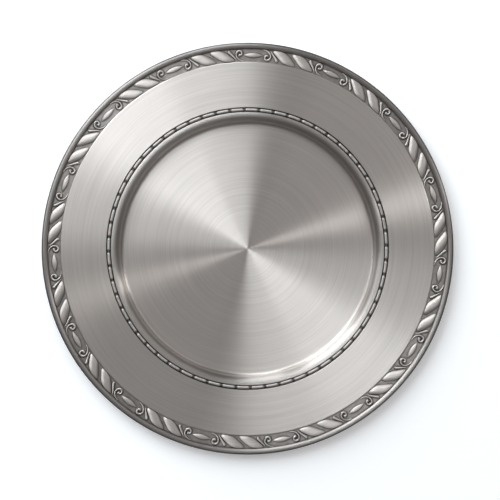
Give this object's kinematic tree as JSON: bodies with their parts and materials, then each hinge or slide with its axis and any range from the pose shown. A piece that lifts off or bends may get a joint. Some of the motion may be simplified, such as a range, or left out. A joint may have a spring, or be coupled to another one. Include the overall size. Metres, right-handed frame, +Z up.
{
  "type": "pewter plate",
  "caption": "Round pewter plate with a flat well, a beaded ring at its shoulder, a broad brushed flange and a cast scroll and rope border under a rolled edge.",
  "frame": {"origin": "middle of the flat underside that the plate rests on", "axes": "+Z up out of the well along the plate's axis, +Y through the middle of the first border casting"},
  "size_m": [0.28, 0.28, 0.0117],
  "materials": {
    "spun_pewter": "spun pewter, brushed in fine circles, satin sheen",
    "cast_pewter": "cast pewter, burnished on the relief and dark with oxide in the ground",
    "bead_pewter": "beaded pewter wire, bright on the beads and dark in the notches",
    "edge_pewter": "drawn pewter moulding, satin"
  },
  "bodies": {
    "root": {"plate_body": "spun_pewter", "edge_wire": "edge_pewter", "bead_wire": "bead_pewter", "border_casting_01": "cast_pewter", "border_casting_02": "cast_pewter", "border_casting_03": "cast_pewter", "border_casting_04": "cast_pewter", "border_casting_05": "cast_pewter", "border_casting_06": "cast_pewter", "border_casting_07": "cast_pewter", "border_casting_08": "cast_pewter", "border_casting_09": "cast_pewter", "border_casting_10": "cast_pewter", "border_casting_11": "cast_pewter", "border_casting_12": "cast_pewter", "border_casting_13": "cast_pewter", "border_casting_14": "cast_pewter", "border_casting_15": "cast_pewter"}
  },
  "joints": []
}
